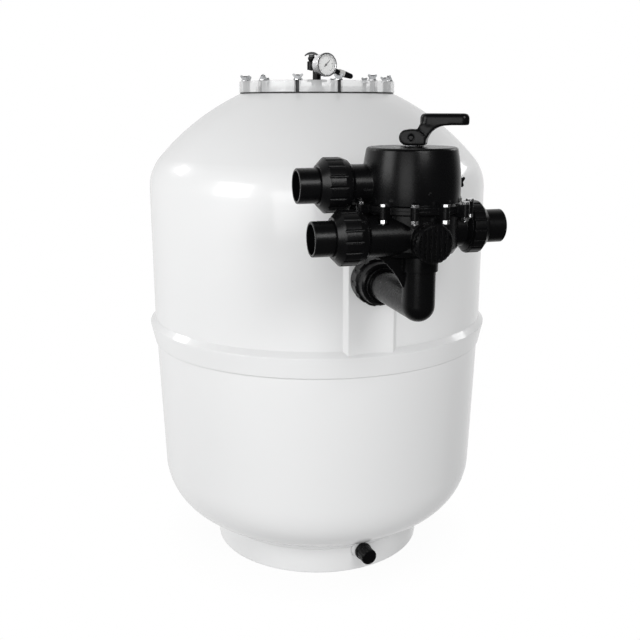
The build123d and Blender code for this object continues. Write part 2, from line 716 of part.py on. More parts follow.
# ======== inside the tank ========
with BuildPart() as bulkheads:
    for port_z in (LOWER_PORT_Z, UPPER_PORT_Z):
        turn(
            (0, 0, port_z),
            FRONT,
            (BULKHEAD_INNER_Y, INNER_PIPE_R),
            (BULKHEAD_INNER_Y, BULKHEAD_THREAD_R),
            (PAD_FACE_Y + SEAL_T, BULKHEAD_THREAD_R),
            (PAD_FACE_Y + SEAL_T, BULKHEAD_FLANGE_R),
            (PAD_FACE_Y + SEAL_T + 7, BULKHEAD_FLANGE_R),
            (PAD_FACE_Y + SEAL_T + 7, BULKHEAD_SPIGOT_R),
            (UNION_FACE_Y - SEAL_T, BULKHEAD_SPIGOT_R),
            (UNION_FACE_Y - SEAL_T, BORE_R),
            (BULKHEAD_INNER_Y + 20, BORE_R - 2),
            (BULKHEAD_INNER_Y + 20, INNER_PIPE_R),
        )
save(bulkheads, "bulkheads")

with BuildPart() as bulkhead_gaskets:
    for port_z in (LOWER_PORT_Z, UPPER_PORT_Z):
        rod((0, 0, port_z), FRONT, PAD_FACE_Y, PAD_FACE_Y + SEAL_T, BULKHEAD_FLANGE_R, BULKHEAD_THREAD_R)
save(bulkhead_gaskets, "bulkhead_gaskets")

with BuildPart() as bulkhead_locknuts:
    for port_z in (LOWER_PORT_Z, UPPER_PORT_Z):
        with BuildSketch(across((0, 0, port_z), FRONT, PORT_BOSS_INNER_Y - 14)):
            RegularPolygon(BULKHEAD_FLANGE_R, 6)
            Circle(BULKHEAD_THREAD_R, mode=Mode.SUBTRACT)
        extrude(amount=14)
save(bulkhead_locknuts, "bulkhead_locknuts")

with BuildPart() as collector_hub:
    rod((0, 0, 0), UP, HUB_Z - 20, HUB_Z + 22, HUB_R)
    rod((0, 0, 0), UP, HUB_Z - 14, HUB_Z + 10, HUB_R - 10, mode=Mode.SUBTRACT)
    rod((0, 0, 0), UP, HUB_Z, HUB_Z + 23, INNER_PIPE_R, mode=Mode.SUBTRACT)
    for index in range(LATERAL_COUNT):
        socket = heading(360 / LATERAL_COUNT * (index + 0.5))
        rod((0, 0, HUB_Z), socket, HUB_R - 14, HUB_R + 1, LATERAL_R, mode=Mode.SUBTRACT)
save(collector_hub, "collector_hub")

with BuildPart() as laterals:
    # slotted collector arms with closed tips
    for index in range(LATERAL_COUNT):
        arm = heading(360 / LATERAL_COUNT * (index + 0.5))
        rod((0, 0, HUB_Z), arm, HUB_R - 8, LATERAL_END, LATERAL_R)
        rod((0, 0, HUB_Z), arm, HUB_R - 9, LATERAL_END - 4, LATERAL_BORE_R, mode=Mode.SUBTRACT)
        for step in range(6):
            centre = along((0, 0, HUB_Z), arm, HUB_R + 20 + 22 * step)
            with Locations(Plane(origin=centre, x_dir=arm, z_dir=UP)):
                Box(1.2, 2 * LATERAL_R + 2, 2 * LATERAL_R, align=(Align.CENTER, Align.CENTER, Align.MIN),
                    mode=Mode.SUBTRACT)
save(laterals, "laterals")

with BuildPart() as collector_pipe:
    rod((0, 0, 0), UP, HUB_Z + 10, LOWER_PORT_Z, INNER_PIPE_R)
    rod((0, 0, LOWER_PORT_Z), FRONT, 0, BULKHEAD_INNER_Y + 20, INNER_PIPE_R)
    with Locations((0, 0, LOWER_PORT_Z)):
        Sphere(INNER_PIPE_R + 2)
    rod((0, 0, 0), UP, HUB_Z + 9, LOWER_PORT_Z, INNER_PIPE_BORE_R, mode=Mode.SUBTRACT)
    rod((0, 0, LOWER_PORT_Z), FRONT, 0, BULKHEAD_INNER_Y + 21, INNER_PIPE_BORE_R, mode=Mode.SUBTRACT)
save(collector_pipe, "collector_pipe")

with BuildPart() as diffuser_pipe:
    rod((0, 0, UPPER_PORT_Z), FRONT, 0, BULKHEAD_INNER_Y + 20, INNER_PIPE_R)
    rod((0, 0, 0), UP, UPPER_PORT_Z, DIFFUSER_Z + 8, INNER_PIPE_R)
    with Locations((0, 0, UPPER_PORT_Z)):
        Sphere(INNER_PIPE_R + 2)
    rod((0, 0, 0), UP, UPPER_PORT_Z, DIFFUSER_Z + 9, INNER_PIPE_BORE_R, mode=Mode.SUBTRACT)
    rod((0, 0, UPPER_PORT_Z), FRONT, 0, BULKHEAD_INNER_Y + 21, INNER_PIPE_BORE_R, mode=Mode.SUBTRACT)
save(diffuser_pipe, "diffuser_pipe")

with BuildPart() as top_diffuser:
    # slotted cup that spreads the incoming water upwards
    turn(
        (0, 0, DIFFUSER_Z),
        UP,
        (-10, INNER_PIPE_R),
        (-10, INNER_PIPE_R + 4),
        (8, DIFFUSER_R - 6),
        (34, DIFFUSER_R),
        (34, DIFFUSER_R - 3),
        (11, DIFFUSER_R - 9),
        (8, INNER_PIPE_R),
    )
    for index in range(12):
        slot = heading(30 * index)
        with Locations(Plane(origin=along((0, 0, DIFFUSER_Z), slot, DIFFUSER_R - 4), x_dir=slot, z_dir=UP)):
            Box(14, 3, 14, align=(Align.CENTER, Align.CENTER, Align.MIN), mode=Mode.SUBTRACT)
save(top_diffuser, "top_diffuser")

# ======== valve bodies ========
VALVE_ORIGIN = (0, -VALVE_Y, 0)
RETURN_ORIGIN = (0, -RETURN_Y, RETURN_Z)
WASTE_ORIGIN = (0, -WASTE_Y, PORT_Z)
PUMP_ORIGIN = (0, -PUMP_Y, PUMP_Z)
PLUG_ORIGIN = (0, 0, PLUG_Z)
ELBOW_ORIGIN = (0, -ELBOW_Y, 0)
BOLT_STEP = 360 / BOLT_COUNT


def bolt_seat(index, z):
    """Point on the flange bolt circle."""
    return along((0, -VALVE_Y, z), heading(BOLT_PHASE + BOLT_STEP * index), BOLT_PCR)


def lugs(bottom, top):
    """Ring of bolt lugs that stand out from a valve body."""
    for index in range(BOLT_COUNT):
        spoke = heading(BOLT_PHASE + BOLT_STEP * index)
        with BuildSketch(Plane(origin=(0, -VALVE_Y, bottom), x_dir=spoke, z_dir=UP)) as lug:
            with Locations((BOLT_PCR, 0)):
                Circle(LUG_R)
            with Locations(((BOLT_PCR + DRUM_R - 8) / 2, 0)):
                Rectangle(BOLT_PCR - DRUM_R + 8, 2 * LUG_R)
        extrude(lug.sketch, amount=top - bottom)


def union_neck(origin, direction, start, nut_start):
    """Port neck that flares up to a union nut, with the spigot that the nut screws on to."""
    turn(
        origin,
        direction,
        (start, 0),
        (start, NECK_OUTER_R),
        (nut_start - 7, NECK_OUTER_R),
        (nut_start - 1, NECK_FLARE_R),
        (nut_start - FREE_GAP, NECK_FLARE_R),
        (nut_start - FREE_GAP, SPIGOT_R),
        (nut_start + SPIGOT_LENGTH, SPIGOT_R),
        (nut_start + SPIGOT_LENGTH, 0),
    )


with BuildPart() as valve_body:
    turn(
        VALVE_ORIGIN,
        UP,
        (DRUM_BOTTOM_Z, 0),
        (DRUM_BOTTOM_Z, DRUM_BOTTOM_R),
        (DRUM_BOTTOM_Z + 4, DRUM_R - 5),
        (DRUM_BOTTOM_Z + 12, DRUM_R),
        (FLANGE_Z - 7, DRUM_R),
        (FLANGE_Z - 5, FLANGE_R),
        (FLANGE_Z, FLANGE_R),
        (FLANGE_Z, 0),
    )
    lugs(FLANGE_BOTTOM_Z, FLANGE_Z)
    union_neck(RETURN_ORIGIN, LEFT, 0, RETURN_NUT)
    union_neck(WASTE_ORIGIN, RIGHT, 0, WASTE_NUT)
    # spout to the upper tank port, with the collar that its union nut holds
    turn(
        (0, 0, UPPER_PORT_Z),
        FRONT,
        (UNION_FACE_Y, 0),
        (UNION_FACE_Y, TAIL_COLLAR_R),
        (UNION_FACE_Y + TAIL_COLLAR_T, TAIL_COLLAR_R),
        (UNION_FACE_Y + TAIL_COLLAR_T, TUBE_R),
        (UNION_FACE_Y + 22, TUBE_R),
        (UNION_FACE_Y + 22, TUBE_R + 4.5),
        (UNION_FACE_Y + 27, TUBE_R + 4.5),
        (UNION_FACE_Y + 27, TUBE_R),
        (VALVE_Y, TUBE_R),
        (VALVE_Y, 0),
    )
    # bottom socket for the elbow, and the boss for the front plug
    rod(ELBOW_ORIGIN, UP, SOCKET_BOTTOM_Z, PORT_Z, SOCKET_OUTER_R)
    rod(PLUG_ORIGIN, FRONT, VALVE_Y, PLUG_BACK_Y, PLUG_R - 1)
    # gusset between the return neck and the bottom socket
    gusset = Plane(origin=(0, -ELBOW_Y, 0), x_dir=LEFT, z_dir=BACK)
    with BuildSketch(gusset) as web:
        with BuildLine():
            Polyline((0, 640), (0, 700), (68, 700), (68, 689))
            ThreePointArc((68, 689), (42, 666), (TUBE_R + 1, 640))
            Line((TUBE_R + 1, 640), (0, 640))
        make_face()
    extrude(web.sketch, amount=2.5, both=True)
    # room for the flange nuts beside the necks
    for index in range(BOLT_COUNT):
        if index != SHORT_BOLT:
            rod(bolt_seat(index, 0), UP, FLANGE_BOTTOM_Z - 7, FLANGE_BOTTOM_Z, SPOT_R, mode=Mode.SUBTRACT)
            rod(bolt_seat(index, 0), UP, FLANGE_BOTTOM_Z - 1, FLANGE_Z + 1, BOLT_HOLE_R, mode=Mode.SUBTRACT)
    rod(bolt_seat(SHORT_BOLT, 0), UP, FLANGE_Z - 9, FLANGE_Z + 1, BOLT_HOLE_R, mode=Mode.SUBTRACT)
    # water ways
    rod(RETURN_ORIGIN, LEFT, 26, RETURN_NUT + SPIGOT_LENGTH + 1, BORE_R, mode=Mode.SUBTRACT)
    rod(WASTE_ORIGIN, RIGHT, 30, WASTE_NUT + SPIGOT_LENGTH + 1, BORE_R, mode=Mode.SUBTRACT)
    rod((0, 0, UPPER_PORT_Z), FRONT, UNION_FACE_Y - 1, VALVE_Y - 30, BORE_R, mode=Mode.SUBTRACT)
    rod(ELBOW_ORIGIN, UP, SOCKET_BOTTOM_Z - 30, SOCKET_BOTTOM_Z + 16, TUBE_R, mode=Mode.SUBTRACT)
    rod(ELBOW_ORIGIN, UP, SOCKET_BOTTOM_Z - 20, PORT_Z, BORE_R, mode=Mode.SUBTRACT)
    rod(PLUG_ORIGIN, FRONT, ELBOW_Y, PLUG_BACK_Y + 1, PLUG_THREAD_R, mode=Mode.SUBTRACT)
    # windows in the seat deck: bottom, waste, upper and return ways
    for azimuth in (0, 120, 180, -60):
        window = along(VALVE_ORIGIN, heading(azimuth), WINDOW_PCR)
        rod(window, UP, PORT_Z, FLANGE_Z + 1, WINDOW_R, mode=Mode.SUBTRACT)
save(valve_body, "valve_body")

with BuildPart() as valve_cover:
    # barrel with a bulged side and a rounded top edge
    with BuildSketch(axial(VALVE_ORIGIN, UP)) as barrel:
        with BuildLine():
            Polyline(
                (FLANGE_Z, 0), (FLANGE_Z, FLANGE_R), (FLANGE_TOP_Z - 2, FLANGE_R), (FLANGE_TOP_Z, BARREL_R - 0.6)
            )
            ThreePointArc(
                (FLANGE_TOP_Z, BARREL_R - 0.6),
                (PUMP_Z, BARREL_R),
                (BARREL_TOP_Z - 4, BARREL_TOP_R),
            )
            ThreePointArc(
                (BARREL_TOP_Z - 4, BARREL_TOP_R),
                (BARREL_TOP_Z - 1, BARREL_TOP_R - 1.8),
                (BARREL_TOP_Z, BARREL_TOP_R - 5),
            )
            Line((BARREL_TOP_Z, BARREL_TOP_R - 5), (BARREL_TOP_Z, 0))
            Line((BARREL_TOP_Z, 0), (FLANGE_Z, 0))
        make_face()
    revolve(barrel.sketch, axis=Axis(VALVE_ORIGIN, UP))
    lugs(FLANGE_Z, FLANGE_TOP_Z)
    union_neck(PUMP_ORIGIN, LEFT, 0, PUMP_NUT)
    rod((0, -VALVE_Y, PUMP_Z), RIGHT, BARREL_INNER_R, BARREL_R + 2.5, 8)
    rod((0, -VALVE_Y, PUMP_Z - 10), FRONT, BARREL_INNER_R, BARREL_R + 1.5, 3.2)
    turn(
        VALVE_ORIGIN,
        UP,
        (FLANGE_Z - 1, 0),
        (FLANGE_Z - 1, BARREL_INNER_R),
        (BARREL_TOP_Z - 16, BARREL_INNER_R - 2),
        (BARREL_TOP_Z - 7, BARREL_TOP_R - 12),
        (BARREL_TOP_Z - 7, 0),
        mode=Mode.SUBTRACT,
    )
    rod(VALVE_ORIGIN, UP, BOSS_BOTTOM_Z, BARREL_TOP_Z + 1.2, 17)
    rod(VALVE_ORIGIN, UP, BOSS_BOTTOM_Z - 1, BARREL_TOP_Z + 2, SHAFT_BORE_R, mode=Mode.SUBTRACT)
    for index in range(BOLT_COUNT):
        rod(bolt_seat(index, 0), UP, FLANGE_TOP_Z, FLANGE_TOP_Z + 8, SPOT_R, mode=Mode.SUBTRACT)
        rod(bolt_seat(index, 0), UP, FLANGE_Z - 1, FLANGE_TOP_Z + 1, BOLT_HOLE_R, mode=Mode.SUBTRACT)
    pump_end = PUMP_NUT + SPIGOT_LENGTH + 1
    rod(PUMP_ORIGIN, LEFT, BARREL_INNER_R - 14, pump_end, BORE_R, mode=Mode.SUBTRACT)
    rod((0, -VALVE_Y, PUMP_Z), RIGHT, BARREL_INNER_R - 2, BARREL_R + 3, 3.6, mode=Mode.SUBTRACT)
save(valve_cover, "valve_cover")

with BuildPart() as cover_oring:
    with BuildSketch(axial(VALVE_ORIGIN, UP)):
        with Locations((FLANGE_Z + 1.2, BARREL_INNER_R - 1.4)):
            Circle(1.2)
    revolve(axis=Axis(VALVE_ORIGIN, UP))
save(cover_oring, "cover_oring")

with BuildPart() as cover_plug:
    # small wing plug in the side of the barrel
    rod((0, -VALVE_Y, PUMP_Z), RIGHT, BARREL_INNER_R + 1, BARREL_R + 3, 3.6 - THREAD_GAP)
    rod((0, -VALVE_Y, PUMP_Z), RIGHT, BARREL_R + 2.6, BARREL_R + 5.5, 6.5)
    blade = outline(
        axial((0, -VALVE_Y, PUMP_Z), RIGHT),
        (BARREL_R + 5, -5),
        (BARREL_R + 9, -7.5),
        (BARREL_R + 11.5, -5),
        (BARREL_R + 10, 0),
        (BARREL_R + 13.5, 5.5),
        (BARREL_R + 12, 7.5),
        (BARREL_R + 5, 5),
    )
    extrude(blade, amount=1.3, both=True)
save(cover_plug, "cover_plug")

with BuildPart() as flange_bolts:
    for index in range(BOLT_COUNT):
        shank_end = FLANGE_Z - 8.5 if index == SHORT_BOLT else FLANGE_BOTTOM_Z - BOLT_NUT_H - 1.4
        rod(bolt_seat(index, 0), UP, shank_end, FLANGE_TOP_Z, BOLT_R)
        with BuildSketch(Plane(origin=bolt_seat(index, FLANGE_TOP_Z), z_dir=UP)) as bolt_head:
            RegularPolygon(BOLT_HEAD_AF / math.sqrt(3), 6, rotation=BOLT_STEP * index)
        extrude(bolt_head.sketch, amount=BOLT_HEAD_H)
save(flange_bolts, "flange_bolts")

with BuildPart() as flange_nuts:
    for index in range(BOLT_COUNT):
        if index != SHORT_BOLT:
            with BuildSketch(Plane(origin=bolt_seat(index, FLANGE_BOTTOM_Z), z_dir=DOWN)) as nut:
                RegularPolygon(BOLT_HEAD_AF / math.sqrt(3), 6, rotation=BOLT_STEP * index)
                Circle(BOLT_R, mode=Mode.SUBTRACT)
            extrude(nut.sketch, amount=BOLT_NUT_H)
save(flange_nuts, "flange_nuts")

with BuildPart() as front_plug:
    # ribbed plug that closes the front service port
    turn(
        PLUG_ORIGIN,
        FRONT,
        (PLUG_BACK_Y - 16, 0),
        (PLUG_BACK_Y - 16, PLUG_THREAD_R - THREAD_GAP),
        (PLUG_BACK_Y + 2.6, PLUG_THREAD_R - THREAD_GAP),
        (PLUG_BACK_Y + 2.6, PLUG_R - 1.5),
        (PLUG_BACK_Y + 4.2, PLUG_R),
        (PLUG_FACE_Y - 3, PLUG_R),
        (PLUG_FACE_Y - 0.8, PLUG_R - 2.4),
        (PLUG_FACE_Y - 0.8, 0),
    )
    with BuildSketch(across(PLUG_ORIGIN, FRONT, PLUG_FACE_Y - 4)):
        with GridLocations(7.4, 0, 7, 1):
            Rectangle(3.6, 4 * PLUG_R)
        Circle(PLUG_R - 3.4, mode=Mode.INTERSECT)
    extrude(amount=6, mode=Mode.SUBTRACT)
    with BuildSketch(across(PLUG_ORIGIN, FRONT, PLUG_BACK_Y + 6)):
        with PolarLocations(PLUG_R + 0.6, 24):
            Circle(1.5)
    extrude(amount=12, mode=Mode.SUBTRACT)
save(front_plug, "front_plug")

with BuildPart() as plug_seal:
    rod(PLUG_ORIGIN, FRONT, PLUG_BACK_Y, PLUG_BACK_Y + 2.5, PLUG_THREAD_R + 4, PLUG_THREAD_R + 0.3)
save(plug_seal, "plug_seal")

# ======== rotor and handle ========
ROTOR_Z = FLANGE_Z + SEAL_PLATE_T + ROTOR_GAP
HANDLE_DIR = heading(HANDLE_AZ)
PIN_DIR = heading(HANDLE_AZ + 90)
PIN_ORIGIN = (0, -VALVE_Y, PIN_Z)

with BuildPart() as spider_gasket:
    with BuildSketch(Plane(origin=(0, -VALVE_Y, FLANGE_Z))):
        Circle(BARREL_INNER_R - 3.2)
        with PolarLocations(WINDOW_PCR, 6, start_angle=30):
            Circle(WINDOW_R + 1, mode=Mode.SUBTRACT)
    extrude(amount=SEAL_PLATE_T)
save(spider_gasket, "spider_gasket")

with BuildPart() as rotor:
    turn(
        VALVE_ORIGIN,
        UP,
        (ROTOR_Z, 0),
        (ROTOR_Z, ROTOR_R - 1),
        (ROTOR_Z + ROTOR_PLATE_T, ROTOR_R - 1),
        (ROTOR_Z + ROTOR_PLATE_T, 24),
        (HUB_TOP_Z - 6, 16.5),
        (HUB_TOP_Z, 16.5),
        (HUB_TOP_Z, SHAFT_R),
        (SHAFT_TOP_Z - 1.5, SHAFT_R),
        (SHAFT_TOP_Z, SHAFT_R - 1.5),
        (SHAFT_TOP_Z, 0),
    )
    # raised crossover channel on one half, inlet window in the other
    with BuildSketch(Plane(origin=(0, -VALVE_Y + 34, ROTOR_Z))):
        SlotOverall(74, 40)
    extrude(amount=24, taper=8)
    with BuildSketch(Plane(origin=(0, -VALVE_Y + 34, ROTOR_Z))):
        SlotOverall(64, 30)
    extrude(amount=18, mode=Mode.SUBTRACT)
    with BuildSketch(Plane(origin=(0, -VALVE_Y - 38, ROTOR_Z))):
        SlotOverall(44, 26)
    extrude(amount=ROTOR_PLATE_T, mode=Mode.SUBTRACT)
    rod(PIN_ORIGIN, PIN_DIR, -20, 20, PIN_HOLE_R, mode=Mode.SUBTRACT)
    with BuildSketch(axial(VALVE_ORIGIN, UP)) as groove:
        for groove_z in (BARREL_TOP_Z - 10, BARREL_TOP_Z - 4):
            with Locations((groove_z, SHAFT_R)):
                Rectangle(2.4, 3.2)
    revolve(groove.sketch, axis=Axis(VALVE_ORIGIN, UP), mode=Mode.SUBTRACT)
save(rotor, "rotor")

with BuildPart() as shaft_orings:
    for groove_z in (BARREL_TOP_Z - 10, BARREL_TOP_Z - 4):
        with BuildSketch(axial(VALVE_ORIGIN, UP)) as cord:
            with Locations((groove_z, SHAFT_R - 0.78)):
                Circle(0.8)
        revolve(cord.sketch, axis=Axis(VALVE_ORIGIN, UP))
save(shaft_orings, "shaft_orings")

with BuildPart() as thrust_washer:
    rod(VALVE_ORIGIN, UP, THRUST_Z, BOSS_BOTTOM_Z - ROTOR_GAP, 16.5, SHAFT_BORE_R)
save(thrust_washer, "thrust_washer")

with BuildPart() as rotor_spring:
    spring_base = HUB_TOP_Z + SPRING_WIRE_R
    spring_height = THRUST_Z - HUB_TOP_Z - 2 * SPRING_WIRE_R
    with BuildLine() as coil:
        Helix(spring_height / SPRING_TURNS, spring_height, SPRING_R, center=(0, -VALVE_Y, spring_base))
    with BuildSketch(Plane(origin=coil.line @ 0, z_dir=coil.line % 0)):
        Circle(SPRING_WIRE_R - 0.1)
    sweep()
save(rotor_spring, "rotor_spring")

with BuildPart() as handle_pin:
    rod(PIN_ORIGIN, PIN_DIR, -FORK_HALF - 0.8, FORK_HALF + 0.8, PIN_R)
save(handle_pin, "handle_pin")

with BuildPart() as handle:
    side = axial((0, -VALVE_Y, 0), HANDLE_DIR)
    # fork cheeks: a round lobe behind the shaft and a lifting heel under the grip
    with BuildSketch(side) as fork:
        with BuildLine():
            Polyline((-6, 863), (9, 863), (21, 853), (21, 842.5), (19, 840), (-8, 840))
            ThreePointArc((-8, 840), (-18, 851), (-6, 863))
        make_face()
    extrude(fork.sketch, amount=FORK_HALF, both=True)
    # arm: straight back edge, hollow curve under the grip
    with BuildSketch(side) as arm:
        with BuildLine():
            Polyline((20, 842), (-4, 842), (11.5, GRIP_BOTTOM_Z + 2), (52, GRIP_BOTTOM_Z + 2))
            Line((52, GRIP_BOTTOM_Z + 2), (52, GRIP_BOTTOM_Z - 0.5))
            ThreePointArc((52, GRIP_BOTTOM_Z - 0.5), (29, 860), (20, 842))
        make_face()
    extrude(arm.sketch, amount=ARM_HALF, both=True)
    # tapered grip with rounded ends and edges
    with BuildSketch(Plane(origin=(0, -VALVE_Y, GRIP_BOTTOM_Z), x_dir=HANDLE_DIR, z_dir=UP)) as grip:
        with Locations((GRIP_NEAR_U, 0)):
            Circle(GRIP_NEAR_R)
        with Locations((GRIP_FAR_U, 0)):
            Circle(GRIP_FAR_R)
        make_hull()
    extrude(grip.sketch, amount=GRIP_TOP_Z - GRIP_BOTTOM_Z)
    fillet(handle.edges().group_by(Axis.Z)[-1], 6)
    with Locations(Plane(origin=(0, -VALVE_Y, 0), x_dir=HANDLE_DIR, z_dir=UP)):
        with Locations((-2.6, 0, 850)):
            Box(35, 2 * FORK_SLOT_HALF, 28, mode=Mode.SUBTRACT)
    rod(PIN_ORIGIN, PIN_DIR, -FORK_HALF - 1, FORK_HALF + 1, PIN_HOLE_R, mode=Mode.SUBTRACT)
save(handle, "handle")

# ======== unions ========
def union_nut(origin, direction, start, length, inner_bevel):
    """Ribbed union nut with bevelled ends."""
    end = start + length
    lip = TAIL_R + FREE_GAP
    turn(
        origin,
        direction,
        (start, NUT_THREAD_R),
        (start, NUT_R - 3.5),
        (start + inner_bevel, NUT_R),
        (end - NUT_CHAMFER, NUT_R),
        (end, NUT_R - 10),
        (end, lip),
        (start + SPIGOT_LENGTH + SEAL_T + TAIL_COLLAR_T + FREE_GAP, lip),
        (start + SPIGOT_LENGTH + SEAL_T + TAIL_COLLAR_T + FREE_GAP, NUT_THREAD_R),
    )
    with BuildSketch(across(origin, direction, start - 1)) as ribs:
        with PolarLocations(NUT_R + 1.2, NUT_RIB_COUNT):
            Circle(2.6)
    extrude(ribs.sketch, amount=length - NUT_CHAMFER + 4, mode=Mode.SUBTRACT)


def union_tail(origin, direction, nut_start, nut_length):
    """Pipe spigot with the collar that the nut clamps, full size only where a pipe socket goes on."""
    face = nut_start + SPIGOT_LENGTH + SEAL_T
    nut_end = nut_start + nut_length
    turn(
        origin,
        direction,
        (face, TAIL_BORE_R),
        (face, TAIL_COLLAR_R),
        (face + TAIL_COLLAR_T, TAIL_COLLAR_R),
        (face + TAIL_COLLAR_T, TAIL_R - 0.3),
        (nut_end + TAIL_STEP, TAIL_R - 0.3),
        (nut_end + TAIL_STEP, TAIL_R),
        (nut_end + TAIL_REACH - 1, TAIL_R),
        (nut_end + TAIL_REACH, TAIL_R - 1),
        (nut_end + TAIL_REACH, TAIL_BORE_R),
    )


with BuildPart() as pump_union_nut:
    union_nut(PUMP_ORIGIN, LEFT, PUMP_NUT, NUT_LONG, NUT_CHAMFER)
save(pump_union_nut, "pump_union_nut")

with BuildPart() as pump_tail:
    union_tail(PUMP_ORIGIN, LEFT, PUMP_NUT, NUT_LONG)
save(pump_tail, "pump_tail")

with BuildPart() as return_union_nut:
    union_nut(RETURN_ORIGIN, LEFT, RETURN_NUT, NUT_LONG, NUT_CHAMFER)
save(return_union_nut, "return_union_nut")

with BuildPart() as return_tail:
    union_tail(RETURN_ORIGIN, LEFT, RETURN_NUT, NUT_LONG)
save(return_tail, "return_tail")

with BuildPart() as waste_union_nut:
    union_nut(WASTE_ORIGIN, RIGHT, WASTE_NUT, NUT_SHORT, NUT_CHAMFER / 4)
save(waste_union_nut, "waste_union_nut")

with BuildPart() as waste_tail:
    union_tail(WASTE_ORIGIN, RIGHT, WASTE_NUT, NUT_SHORT)
save(waste_tail, "waste_tail")

with BuildPart() as union_seals:
    for origin, direction, start in (
        (PUMP_ORIGIN, LEFT, PUMP_NUT + SPIGOT_LENGTH),
        (RETURN_ORIGIN, LEFT, RETURN_NUT + SPIGOT_LENGTH),
        (WASTE_ORIGIN, RIGHT, WASTE_NUT + SPIGOT_LENGTH),
        ((0, 0, LOWER_PORT_Z), FRONT, UNION_FACE_Y - SEAL_T),
        ((0, 0, UPPER_PORT_Z), FRONT, UNION_FACE_Y - SEAL_T),
    ):
        rod(origin, direction, start, start + SEAL_T, TAIL_COLLAR_R - 1, BORE_R + 1)
save(union_seals, "union_seals")


def tank_union_nut(port_z):
    """Lobed nut that draws a valve spout on to a tank bulkhead."""
    start = PAD_FACE_Y + SEAL_T + 7 + FREE_GAP
    lip_start = UNION_FACE_Y + TAIL_COLLAR_T + FREE_GAP
    turn(
        (0, 0, port_z),
        FRONT,
        (start, BULKHEAD_SPIGOT_R + 0.3),
        (start, NUT_R - 1.5),
        (start + 2, NUT_R + 0.5),
        (start + 20, NUT_R + 0.5),
        (start + 23, NUT_R - 3.5),
        (start + 38, NUT_R - 5),
        (start + 41, NUT_R - 8),
        (start + 41, TUBE_R + FREE_GAP),
        (lip_start, TUBE_R + FREE_GAP),
        (lip_start, BULKHEAD_SPIGOT_R + 0.3),
    )
    with BuildSketch(across((0, 0, port_z), FRONT, start - 1)) as lobes:
        with PolarLocations(NUT_R + 2, LOBE_COUNT):
            Circle(4.4)
    extrude(lobes.sketch, amount=22, mode=Mode.SUBTRACT)


with BuildPart() as lower_union_nut:
    tank_union_nut(LOWER_PORT_Z)
save(lower_union_nut, "lower_union_nut")

with BuildPart() as upper_union_nut:
    tank_union_nut(UPPER_PORT_Z)
save(upper_union_nut, "upper_union_nut")

with BuildPart() as bottom_elbow:
    # mitred elbow from the valve's bottom socket to the lower tank port
    turn(
        (0, 0, LOWER_PORT_Z),
        FRONT,
        (UNION_FACE_Y, 0),
        (UNION_FACE_Y, TAIL_COLLAR_R),
        (UNION_FACE_Y + TAIL_COLLAR_T, TAIL_COLLAR_R),
        (UNION_FACE_Y + TAIL_COLLAR_T, TUBE_R),
        (UNION_FACE_Y + 22, TUBE_R),
        (UNION_FACE_Y + 22, TUBE_R + 4.5),
        (UNION_FACE_Y + 27, TUBE_R + 4.5),
        (UNION_FACE_Y + 27, TUBE_R),
        (ELBOW_Y, TUBE_R),
        (ELBOW_Y, 0),
    )
    rod(ELBOW_ORIGIN, UP, LOWER_PORT_Z, SOCKET_BOTTOM_Z + 15, TUBE_R)
    with Locations((0, -ELBOW_Y, LOWER_PORT_Z)):
        Sphere(TUBE_R)
    rod((0, 0, LOWER_PORT_Z), FRONT, UNION_FACE_Y - 1, ELBOW_Y, BORE_R, mode=Mode.SUBTRACT)
    rod(ELBOW_ORIGIN, UP, LOWER_PORT_Z, SOCKET_BOTTOM_Z + 16, BORE_R, mode=Mode.SUBTRACT)
    with Locations((0, -ELBOW_Y, LOWER_PORT_Z)):
        Sphere(BORE_R, mode=Mode.SUBTRACT)
save(bottom_elbow, "bottom_elbow")
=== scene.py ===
"""Sand filter tank: finishes, small printed parts, floor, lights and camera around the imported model."""

import json
import math

import bmesh
import bpy
from mathutils import Matrix, Vector


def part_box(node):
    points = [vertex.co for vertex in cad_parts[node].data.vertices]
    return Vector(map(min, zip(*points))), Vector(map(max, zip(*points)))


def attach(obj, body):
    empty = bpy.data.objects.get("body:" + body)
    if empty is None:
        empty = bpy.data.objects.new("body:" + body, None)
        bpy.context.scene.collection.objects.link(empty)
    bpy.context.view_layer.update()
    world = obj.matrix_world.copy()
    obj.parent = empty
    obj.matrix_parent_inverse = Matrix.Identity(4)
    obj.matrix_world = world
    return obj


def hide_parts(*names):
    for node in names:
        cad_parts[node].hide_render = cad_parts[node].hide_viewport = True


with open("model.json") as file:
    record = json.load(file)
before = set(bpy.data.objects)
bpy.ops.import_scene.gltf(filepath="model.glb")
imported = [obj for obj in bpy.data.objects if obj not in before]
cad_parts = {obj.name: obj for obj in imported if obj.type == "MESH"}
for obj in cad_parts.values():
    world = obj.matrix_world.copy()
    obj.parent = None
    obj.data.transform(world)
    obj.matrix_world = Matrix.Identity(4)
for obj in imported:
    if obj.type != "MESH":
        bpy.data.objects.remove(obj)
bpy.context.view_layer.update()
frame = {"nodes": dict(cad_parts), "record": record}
NODES = frame["nodes"]

MM = 0.001
GAUGE_TURN = math.radians(14.0)
GAUGE_DIAL = 34.4 * MM
WHITE = (1.0, 1.0, 1.0)
SIDE_LIGHT = 0.70
TOP_LIGHT = 0.08
MIRRORED_FRONT = 0.04
MIRRORED_BACK = 0.85


